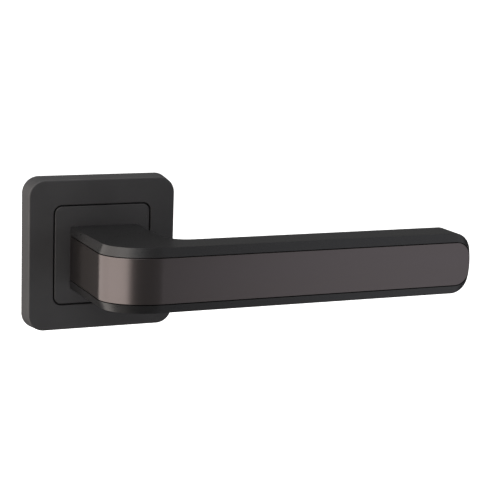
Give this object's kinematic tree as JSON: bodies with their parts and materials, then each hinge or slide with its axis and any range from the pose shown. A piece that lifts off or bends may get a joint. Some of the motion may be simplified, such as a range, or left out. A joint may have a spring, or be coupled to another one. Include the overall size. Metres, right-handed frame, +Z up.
{
  "type": "door lever handle",
  "caption": "Bent bar door lever with a decorative strip let into its outer face, turning on a sprung square rose, with a square spindle and hidden fixings.",
  "frame": {"origin": "on the door face, on the spindle's axis", "axes": "+X along the grip from the spindle to the tip, +Y into the door, +Z up"},
  "size_m": [0.1426, 0.095, 0.052],
  "materials": {
    "matt_black": "matt black coating on die-cast zinc",
    "graphite_metal": "satin graphite plating",
    "zinc_plated_steel": "zinc plated",
    "spring_steel": "oiled",
    "black_nylon": "moulded",
    "pale_nylon": "moulded"
  },
  "bodies": {
    "rose": {"rose_cover": "matt_black", "rose_inlay": "matt_black", "mounting_plate": "zinc_plated_steel", "spring_housing": "black_nylon", "return_spring": "spring_steel", "bearing_bush": "pale_nylon", "housing_rivet_left": "zinc_plated_steel", "housing_rivet_right": "zinc_plated_steel", "cover_clip_upper": "spring_steel", "cover_clip_lower": "spring_steel", "through_bolt_left": "zinc_plated_steel", "through_bolt_right": "zinc_plated_steel", "wood_screw_lower_left": "zinc_plated_steel", "wood_screw_lower_right": "zinc_plated_steel", "wood_screw_upper_left": "zinc_plated_steel", "wood_screw_upper_right": "zinc_plated_steel"},
    "lever": {"lever_body": "matt_black", "lever_insert": "graphite_metal", "neck_spigot": "matt_black", "drive_plate": "zinc_plated_steel", "wave_washer": "spring_steel", "retaining_ring": "spring_steel", "spindle": "zinc_plated_steel", "grub_screw": "zinc_plated_steel"}
  },
  "joints": [
    {"name": "lever_turn", "type": "hinge", "parent": "rose", "child": "lever", "pos_m": [0, 0, 0], "axis": [0, 1, 0], "range_deg": [0, 45], "stiffness_Nm_per_rad": 0.9, "springref_deg": -20.05, "deforming": ["return_spring"]}
  ]
}
